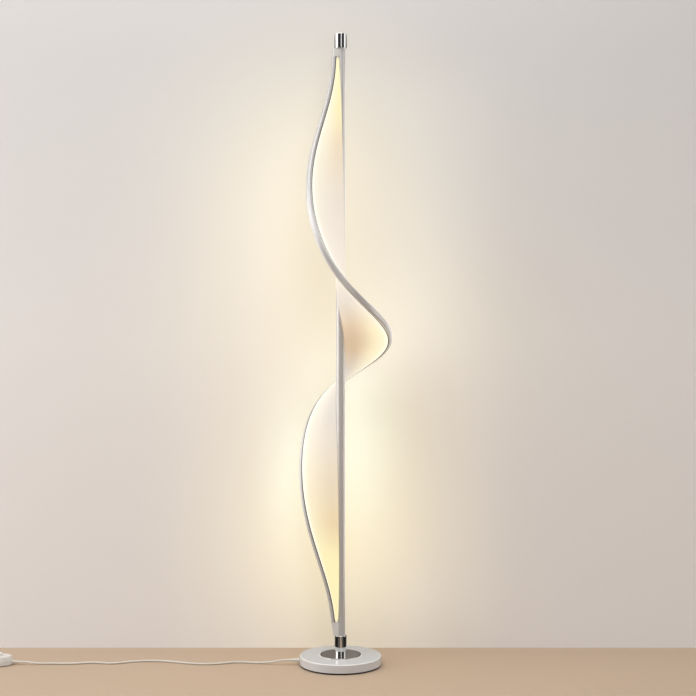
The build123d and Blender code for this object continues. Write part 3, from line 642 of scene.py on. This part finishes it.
def rail_coat(start):
    streak = grain(start, 1.0, (6, 260, 1), kind="UV")
    speck = grain(start, 900.0, detail=1.0)
    coat = blend(start, streak, (0.67, 0.66, 0.655, 1), (0.73, 0.72, 0.715, 1))
    wrap = start.node("ShaderNodeTexCoord", out="UV")
    round_rail = start.node("ShaderNodeSeparateXYZ", inputs={0: wrap}, out="Y")
    from_back = start.node("ShaderNodeMath", {"operation": "ABSOLUTE"}, {0: round_rail - BACK_MIDDLE})
    # The dark band along both lips is painted shade.
    painted_lip_shade = step(start, from_back, LIP_SHADE_START, LIP_START)
    return {
        "Base Color": blend(start, painted_lip_shade, coat, LIP_SHADE),
        "Roughness": 0.36 + 0.14 * streak,
        "Normal": relief(start, 0.7 * streak + 0.3 * speck, 0.01, 0.4),
    }


satin_rail = make_finish("satin_rail", {"Metallic": 0.5}, rail_coat)


# %% The same coat on the joint blocks, which are cast and have no drawing lines
def cast_coat(start):
    speck = grain(start, 900.0, detail=1.0)
    cloud = grain(start, 60.0)
    return {
        "Base Color": blend(start, cloud, (0.74, 0.73, 0.71, 1), (0.79, 0.78, 0.76, 1)),
        "Roughness": 0.30 + 0.12 * cloud,
        "Normal": relief(start, speck, 0.012, 0.5),
    }


block_paint = make_finish("block_paint", {"Metallic": 0.2, "Coat Weight": 0.2}, cast_coat)


# %% Chrome of the collar and the cap
def turned_chrome(start):
    lathe = grain(start, 1.0, (30, 30, 2600))
    smudge = grain(start, 38.0)
    return {
        "Base Color": blend(start, smudge, (0.76, 0.76, 0.77, 1), (0.84, 0.84, 0.85, 1)),
        "Roughness": 0.05 + 0.07 * lathe * smudge,
        "Normal": relief(start, lathe, 0.004, 0.3),
    }


chrome = make_finish("chrome", {"Metallic": 1.0}, turned_chrome)


# %% Polished disc with rings from the lathe
def polished_disc(start):
    radius = from_axis(start, start.node("ShaderNodeTexCoord", out="Object"))
    lathe = start.node(
        "ShaderNodeTexNoise", {"noise_dimensions": "1D"}, {"W": 2.4 * radius, "Scale": 1.0, "Detail": 2.0}
    )
    smudge = grain(start, 26.0)
    polish = blend(start, smudge, (0.60, 0.58, 0.56, 1), (0.66, 0.64, 0.62, 1))
    # The dark ring just inside the edge of the disc is painted shade.
    painted_edge_shade = step(start, radius, DISC_RADIUS - 2.9, DISC_RADIUS - 2.3) * (
        1 - step(start, radius, DISC_RADIUS - 0.6, DISC_RADIUS - 0.2)
    )
    return {
        "Base Color": blend(start, painted_edge_shade, polish, (0.14, 0.135, 0.13, 1)),
        "Roughness": 0.13 + 0.1 * lathe * smudge,
        "Normal": relief(start, lathe, 0.004, 0.35),
    }


disc_polish = make_finish("disc_polish", {"Metallic": 1.0}, polished_disc)

# %% [markdown]
# ## The glowing skins
#
# The skins are opal plastic, lit from behind by the strip in the rail. A true light simulation through a
# thin sheet is slow and noisy, so the glow is an emission colour that follows what light does there. It
# is nearly white along the rail, where the strip is close, and falls off towards the post. The ends,
# where both skins are near the strip, are warm yellow, and the middle, where the fin is widest, is cream
# and tan.

# %% Opal skin
TIP = (0.68, 0.60, 0.26)
STRIP_SIDE = (0.85, 0.83, 0.72)
AMBER = (0.51, 0.37, 0.155)
HONEY = (0.60, 0.52, 0.28)
SAND = (0.60, 0.48, 0.31)
TAN = (0.49, 0.35, 0.21)
GOLD = (0.76, 0.68, 0.44)
IVORY = (0.68, 0.63, 0.46)
CREAM = (0.535, 0.475, 0.405)
PEARL = (0.455, 0.42, 0.375)
DUSK = (0.395, 0.36, 0.32)
POST_SIDE_STOPS = [
    (0.11, TIP),
    (0.17, AMBER),
    (0.36, DUSK),
    (0.44, DUSK),
    (0.485, TAN),
    (0.525, TAN),
    (0.575, PEARL),
    (0.64, CREAM),
    (0.74, CREAM),
    (0.85, SAND),
    (0.91, TIP),
]
RAIL_SIDE_STOPS = [
    (0.11, TIP),
    (0.17, HONEY),
    (0.38, CREAM),
    (0.43, PEARL),
    (0.48, GOLD),
    (0.52, GOLD),
    (0.575, PEARL),
    (0.66, CREAM),
    (0.87, IVORY),
    (1.0, TIP),
]
END_LEVEL = SKIN_ENDS / (RAIL_HIGH - RAIL_LOW)
END_BOW = 0.006
END_SOFT = 0.0012


def opal_glow(start):
    wrap = start.node("ShaderNodeTexCoord", out="UV")
    across = start.node("ShaderNodeSeparateXYZ", inputs={0: wrap}, out="X")
    level = start.node("ShaderNodeSeparateXYZ", inputs={0: wrap}, out="Y")
    post_side = start.node("ShaderNodeValToRGB", {"stops": POST_SIDE_STOPS}, {"Fac": level}, "Color")
    rail_side = start.node("ShaderNodeValToRGB", {"stops": RAIL_SIDE_STOPS}, {"Fac": level}, "Color")
    washed = blend(start, step(start, across, 0.15, 0.9), post_side, rail_side)
    glow = blend(start, across**14.0, washed, (*STRIP_SIDE, 1))
    sideways = 2.0 * across - 1.0
    from_end = start.sum("MINIMUM", level, 1.0 - level) - END_LEVEL
    lit = step(start, from_end - END_BOW * sideways * sideways, 0.0, END_SOFT)
    cloud = grain(start, 30.0)
    plastic = blend(start, cloud, (0.40, 0.385, 0.36, 1), (0.44, 0.425, 0.40, 1))
    return {
        "Base Color": blend(start, lit, (0.68, 0.67, 0.65, 1), plastic),
        "Emission Color": blend(start, lit, (0, 0, 0, 1), glow),
        "Roughness": 0.42 + 0.1 * cloud,
        "Normal": relief(start, grain(start, 700.0, detail=1.0), 0.015, 0.4),
    }


opal = make_finish("opal_skin", {"Emission Strength": 1.0}, opal_glow)

# %% [markdown]
# ## Plastics, rubber and cord
#
# The foot switch and the plug are moulded plastic: smooth, a little uneven in gloss, with the fine spark
# texture of the mould. The lead has a soft PVC jacket. The pads are foam and rubber, dark and dull.

# %% Helper: moulded plastic
def moulded(name, dark, light, rough, spark, coat=0.0):
    """A moulded plastic with a faint cloud in its colour and a spark texture."""

    def look(start):
        cloud = grain(start, 24.0, detail=2.0)
        pits = grain(start, 1400.0, detail=1.0)
        return {
            "Base Color": blend(start, cloud, (*dark, 1), (*light, 1)),
            "Roughness": rough + 0.12 * grain(start, 110.0),
            "Normal": relief(start, pits, spark, 0.5),
        }

    return make_finish(name, {"Coat Weight": coat}, look)


switch_plastic = moulded("switch_plastic", (0.73, 0.715, 0.685), (0.77, 0.755, 0.725), 0.3, 0.008, 0.25)
button_plastic = moulded("button_plastic", (0.74, 0.725, 0.69), (0.80, 0.785, 0.755), 0.3, 0.02)
plug_plastic = moulded("plug_plastic", (0.70, 0.685, 0.65), (0.76, 0.745, 0.71), 0.34, 0.02)
cord_jacket = moulded("cord_jacket", (0.70, 0.675, 0.62), (0.78, 0.755, 0.70), 0.38, 0.01)
relief_rubber = moulded("relief_rubber", (0.66, 0.64, 0.59), (0.73, 0.71, 0.66), 0.45, 0.015)
tie_plastic = moulded("tie_plastic", (0.60, 0.595, 0.575), (0.68, 0.675, 0.655), 0.4, 0.01)
driver_case = moulded("driver_case", (0.62, 0.62, 0.61), (0.70, 0.70, 0.69), 0.45, 0.03)
contact_block = moulded("contact_block", (0.10, 0.10, 0.105), (0.15, 0.15, 0.155), 0.4, 0.02)
wire_jacket = moulded("wire_jacket", (0.02, 0.02, 0.02), (0.04, 0.04, 0.04), 0.42, 0.01)


# %% Foam and rubber pads
def foam_cells(start):
    cells = start.node(
        "ShaderNodeTexVoronoi",
        inputs={"Vector": start.node("ShaderNodeTexCoord", out="Object"), "Scale": 900.0},
        out="Distance",
    )
    return {
        "Base Color": blend(start, cells, (0.005, 0.005, 0.005, 1), (0.02, 0.02, 0.02, 1)),
        "Roughness": 0.8 + 0.15 * cells,
        "Normal": relief(start, cells, 0.12, 0.6),
    }


pad_foam = make_finish("pad_foam", {"Sheen Weight": 0.1}, foam_cells)


# %% Plated steel of the screws, rod, nut and plate
def plated(start):
    spangle = grain(start, 240.0)
    rub = grain(start, 1.0, (400, 30, 400))
    return {
        "Base Color": blend(start, spangle, (0.48, 0.48, 0.47, 1), (0.62, 0.62, 0.60, 1)),
        "Roughness": 0.3 + 0.2 * rub,
        "Normal": relief(start, spangle, 0.01, 0.4),
    }


plated_steel = make_finish("plated_steel", {"Metallic": 1.0}, plated)


# %% Cast iron of the weight
def sand_cast(start):
    sand = grain(start, 520.0, detail=4.0)
    patch = grain(start, 18.0)
    return {
        "Base Color": blend(start, patch, (0.055, 0.052, 0.05, 1), (0.095, 0.088, 0.08, 1)),
        "Roughness": 0.6 + 0.25 * sand,
        "Normal": relief(start, sand, 0.25, 0.8),
    }


cast_iron = make_finish("cast_iron", {"Metallic": 0.6}, sand_cast)


# %% LED strip, its chips, and the plug's pins
def strip_mask(start):
    trace = grain(start, 340.0, (1, 1, 0.2), detail=1.0)
    return {
        "Base Color": blend(start, trace**6.0, (0.80, 0.79, 0.76, 1), (0.55, 0.36, 0.18, 1)),
        "Roughness": 0.35 + 0.2 * trace,
    }


def phosphor(start):
    dome = grain(start, 600.0)
    return {
        "Base Color": blend(start, dome, (0.85, 0.62, 0.18, 1), (0.92, 0.74, 0.30, 1)),
        "Emission Color": blend(start, dome, (1.0, 0.80, 0.46, 1), (1.0, 0.88, 0.60, 1)),
        "Roughness": 0.3 + 0.1 * dome,
    }


def nickel(start):
    rub = grain(start, 1.0, (60, 900, 900))
    return {
        "Base Color": blend(start, rub, (0.58, 0.56, 0.52, 1), (0.70, 0.68, 0.64, 1)),
        "Roughness": 0.12 + 0.14 * rub,
        "Normal": relief(start, rub, 0.005, 0.4),
    }


strip_board = make_finish("strip_board", {}, strip_mask)
led_phosphor = make_finish("led_phosphor", {"Emission Strength": 1.0}, phosphor)
pin_nickel = make_finish("pin_nickel", {"Metallic": 1.0}, nickel)

# %% [markdown]
# ## Who wears what
#
# Every node of the frame and every new piece gets its finish here, so the list reads like a parts list.

# %% Finishes on the pieces
finishes = {
    pad_foam: ["anti_slip_pad", "switch_rubber"],
    white_enamel: ["base_shell"],
    cast_iron: ["counterweight"],
    plated_steel: [
        "base_bottom_plate",
        "bottom_screws",
        "threaded_rod",
        "rod_washer",
        "rod_nut",
        "post_lower_plug",
        "post_upper_plug",
        "block_screws",
        "switch_screws",
        "switch_spring",
        "button_spring",
    ],
    disc_polish: ["cover_disc"],
    chrome: ["post_collar", "top_cap"],
    satin_post: ["post_tube"],
    satin_rail: ["spiral_rail", "rail"],
    block_paint: ["lower_joint_block", "upper_joint_block"],
    strip_board: ["led_strip", "strip_connector"],
    led_phosphor: ["led_chips"],
    opal: ["diffuser_upper", "diffuser_lower", "skin_one", "skin_two"],
    driver_case: ["led_driver"],
    wire_jacket: ["driver_lead", "mains_wires"],
    relief_rubber: ["strain_relief", "switch_grommet_lamp", "switch_grommet_mains"],
    cord_jacket: [
        "lamp_lead",
        "mains_lead",
        "cord_to_switch",
        "cord_from_switch",
        "cord_coil",
        "cord_to_plug",
    ],
    switch_plastic: ["switch_base", "switch_cover"],
    button_plastic: ["switch_button"],
    contact_block: ["switch_contact"],
    tie_plastic: ["coil_tie"],
    plug_plastic: ["plug_body"],
    pin_nickel: ["plug_pins"],
}
for material, names in finishes.items():
    for name in names:
        slots = bpy.data.objects[name].data.materials
        slots.clear()
        slots.append(material)
print("finished:", sum(len(names) for names in finishes.values()), "pieces")

# %% [markdown]
# ## The room
#
# The lamp stands close to a plain pale wall, and its light warms that wall. Each halo is a soft patch of
# warm light: three wide ones behind the fin, and two small ones close to its lower lobe. The wall ends
# outside the picture and is there for the front only: seen from behind it lets everything through, so
# the lamp can be looked at from every side. Three far walls, which only the camera sees, close the room
# for those views.
#
# Polished metal shows what stands round it, so a few cards stand there, as on a photographer's table.
# They give the cap, the collar, the disc and the edge of the base their dark and pale stripes.

# %% Helper: sheets of the room
FLOOR_LEVEL = -0.0004


def sheet(name, corners):
    """A flat sheet of the room, which isn't part of the lamp."""
    mesh = bpy.data.meshes.new(name)
    mesh.from_pydata(corners, [], [(0, 1, 2, 3)])
    made = bpy.data.objects.new(name, mesh)
    bpy.context.scene.collection.objects.link(made)
    return made


def level_sheet(name, left, right, near, far, height):
    """A sheet that lies level."""
    corners = [(left, near), (right, near), (right, far), (left, far)]
    return sheet(name, [(x, y, height) for x, y in corners])


def upright(name, start, end, high):
    """An upright sheet over a line on the floor, which faces to the right of that line."""
    (x, y), (u, v) = start, end
    return sheet(name, [(x, y, FLOOR_LEVEL), (u, v, FLOOR_LEVEL), (u, v, high), (x, y, high)])


def one_sided(material):
    """Lets light and view through a sheet from behind."""
    start = Val(material.node_tree)
    nodes = material.node_tree.nodes
    behind = start.node("ShaderNodeNewGeometry", out="Backfacing")
    painted = Val(material.node_tree, nodes["Principled BSDF"].outputs[0])
    open_side = start.node("ShaderNodeBsdfTransparent")
    mixed = start.node("ShaderNodeMixShader", inputs={0: behind, 1: painted, 2: open_side})
    start.feed(nodes["Material Output"].inputs["Surface"], mixed)
    return material


# %% Floor and wall
FLOOR_REACH = 9
WALL_Y = 0.155
WALL_END = 1.75
WALL_HIGH = 5
WALL_STOPS = [(0.0, (0.925, 0.905, 0.905)), (0.5, (0.90, 0.89, 0.89)), (0.95, (0.76, 0.76, 0.765))]
LAMP_LIGHT = (0.33, 0.27, 0.10)
NEAR_LIGHT = (0.36, 0.40, 0.28)


def floor_tone(start):
    cloud = grain(start, 1.4)
    return {"Base Color": blend(start, cloud, (0.505, 0.39, 0.295, 1), (0.53, 0.41, 0.31, 1))}


def halo(start, here, centre, spread):
    """A soft patch of light on the wall, its centre and spread in metres along X and Z."""
    wide = (start.node("ShaderNodeSeparateXYZ", inputs={0: here}, out="X") - centre[0]) * (1 / spread[0])
    tall = (start.node("ShaderNodeSeparateXYZ", inputs={0: here}, out="Z") - centre[1]) * (1 / spread[1])
    return start.node("ShaderNodeMath", {"operation": "EXPONENT"}, {0: 0.0 - (wide * wide + tall * tall)})


def wall_tone(start):
    here = start.node("ShaderNodeTexCoord", out="Object")
    height = start.node("ShaderNodeSeparateXYZ", inputs={0: here}, out="Z")
    # The wall's colour is paler low down and darker higher up: painted light that evens out the light from
    # above.
    rise = height * (1 / 1.5) + 0.06 * grain(start, 1.1)
    top = 0.65 * halo(start, here, (-0.06, 1.08), (0.28, 0.31))
    middle = 0.42 * halo(start, here, (0.02, 0.74), (0.36, 0.24))
    bottom = halo(start, here, (-0.02, 0.28), (0.26, 0.32))
    wide_glow = blend(start, top + middle + bottom, (0, 0, 0, 1), (*LAMP_LIGHT, 1))
    near_right = 0.9 * halo(start, here, (0.04, 0.47), (0.085, 0.19))
    near_left = 0.6 * halo(start, here, (-0.11, 0.41), (0.07, 0.17))
    return {
        "Base Color": start.node("ShaderNodeValToRGB", {"stops": WALL_STOPS}, {"Fac": rise}, "Color"),
        "Emission Color": blend(start, near_right + near_left, wide_glow, (*NEAR_LIGHT, 1)),
    }


floor = level_sheet("floor", -FLOOR_REACH, FLOOR_REACH, -FLOOR_REACH, FLOOR_REACH, FLOOR_LEVEL)
floor_paint = make_finish("floor_tone", {"Roughness": 0.9, "Specular IOR Level": 0.0}, floor_tone)
floor.data.materials.append(floor_paint)
wall = upright("wall", (-WALL_END, WALL_Y), (WALL_END, WALL_Y), WALL_HIGH)
wall_paint = make_finish("wall_paint", {"Roughness": 0.9, "Emission Strength": 1.0}, wall_tone)
wall.data.materials.append(one_sided(wall_paint))
print("wall stands", WALL_Y, "m behind the post")


# %% The rest of the room, which only the views from the sides and from behind can see
FAR = 6


def far_tone(start):
    return {"Emission Color": blend(start, grain(start, 0.3), (0.62, 0.59, 0.56, 1), (0.66, 0.63, 0.60, 1))}


far_paint = make_finish("far_paint", {"Base Color": (0, 0, 0, 1), "Emission Strength": 1.0}, far_tone)
one_sided(far_paint)
far_walls = [
    upright("far_front", (FAR, -FAR), (-FAR, -FAR), FAR),
    upright("far_left", (-FAR, -FAR), (-FAR, FLOOR_REACH), FAR),
    upright("far_right", (FAR, FLOOR_REACH), (FAR, -FAR), FAR),
]
for far_wall in far_walls:
    far_wall.data.materials.append(far_paint)
    far_wall.visible_diffuse = False
    far_wall.visible_glossy = False
    far_wall.visible_transmission = False
    far_wall.visible_shadow = False
print("far walls:", [far_wall.name for far_wall in far_walls])


# %% Cards that only show in polished metal
CARD_LEVEL = 0.0005
BLACK = (0.01, 0.01, 0.01)
BROWN = (0.075, 0.06, 0.05)
GREY = (0.40, 0.38, 0.36)


def card(made, tone, glow=0.0):
    """Turns a sheet into a card that only mirrors see."""
    name = made.name
    fixed = {"Base Color": (*tone, 1), "Roughness": 0.9, "Emission Strength": glow}
    made.data.materials.append(make_finish(name, fixed, lambda start: {}))
    made.visible_camera = False
    made.visible_diffuse = False
    made.visible_shadow = False


def upright_card(name, left, right, y, low, high, tone, glow=0.0):
    corners = [(left, y, low), (right, y, low), (right, y, high), (left, y, high)]
    card(sheet(name, corners), tone, glow)


def side_card(name, x, near, far, low, high, tone):
    corners = [(x, near, low), (x, far, low), (x, far, high), (x, near, high)]
    card(sheet(name, corners), tone)


def floor_card(name, left, right, near, far, tone):
    card(level_sheet(name, left, right, near, far, CARD_LEVEL), tone)


upright_card("cap_card_left", -0.22, -0.03, 0.10, 1.345, 1.42, BLACK)
upright_card("cap_card_right", 0.03, 0.22, 0.10, 1.345, 1.42, BLACK)
upright_card("disc_card", -0.30, 0.30, 0.10, 0.0, 0.12, GREY)
floor_card("collar_card_left", -0.60, -0.02, -0.80, -0.095, BROWN)
floor_card("collar_card_right", 0.07, 0.60, -0.80, -0.095, BROWN)
side_card("base_card_left", -0.135, -0.12, 0.09, 0.0, 0.045, BLACK)
side_card("base_card_right", 0.135, -0.12, 0.09, 0.0, 0.045, BLACK)
upright_card("post_card", 0.14, 0.34, 0.12, 0.08, 1.33, BLACK, 1.5)

# %% [markdown]
# ## Light
#
# Two tall soft panels at the sides draw bright bands on the chrome and on the edges of the post, a
# narrow one in front draws a thin line between them, and a wide one overhead lights the base. The room
# fills the rest: it is pale at the sides and above, and dim on the side that the picture is taken from.

# %% Panels and world
def panel(name, place, target, size, watts, colour=(1, 1, 1)):
    """A soft rectangular light that looks at a point and isn't seen itself."""
    light = bpy.data.lights.new(name, "AREA")
    light.shape = "RECTANGLE"
    light.size, light.size_y = size
    light.energy = watts
    light.color = colour
    made = bpy.data.objects.new(name, light)
    made.location = place
    made.rotation_euler = (Vector(target) - Vector(place)).to_track_quat("-Z", "Y").to_euler()
    made.visible_camera = False
    bpy.context.scene.collection.objects.link(made)
    return made


panel("side_left", (-2.7, -0.6, 1.1), (0, 0, 0.8), (2.2, 2.6), 40)
panel("side_right", (2.7, -0.3, 1.1), (0, 0, 0.8), (1.3, 2.6), 12)
panel("front_line", (0.75, -3.6, 1.6), (0, 0, 1.2), (0.9, 3.4), 11)
panel("overhead", (-0.3, -0.9, 3.0), (0, 0, 0.3), (2.4, 2.4), 44)

DIM_FRONT = (0.04, 0.038, 0.036, 1)
PALE_ROOM = (0.56, 0.55, 0.535, 1)
world = bpy.data.worlds.new("room")
world.use_nodes = True
room = Val(world.node_tree)
towards = room.node("ShaderNodeTexCoord", out="Generated")


def pale_from(axis, dim, pale):
    """How pale the room is along an axis: dim at one value, fully pale at the other."""
    value = room.node("ShaderNodeSeparateXYZ", inputs={0: towards}, out=axis)
    return step(room, value, dim, pale)


pale = room.sum("MAXIMUM", pale_from("Z", 0.25, 0.7), pale_from("Y", -0.3, 0.1))
room.feed(world.node_tree.nodes["Background"].inputs["Color"], blend(room, pale, DIM_FRONT, PALE_ROOM))
bpy.context.scene.world = world
bpy.context.scene.view_settings.view_transform = "Standard"
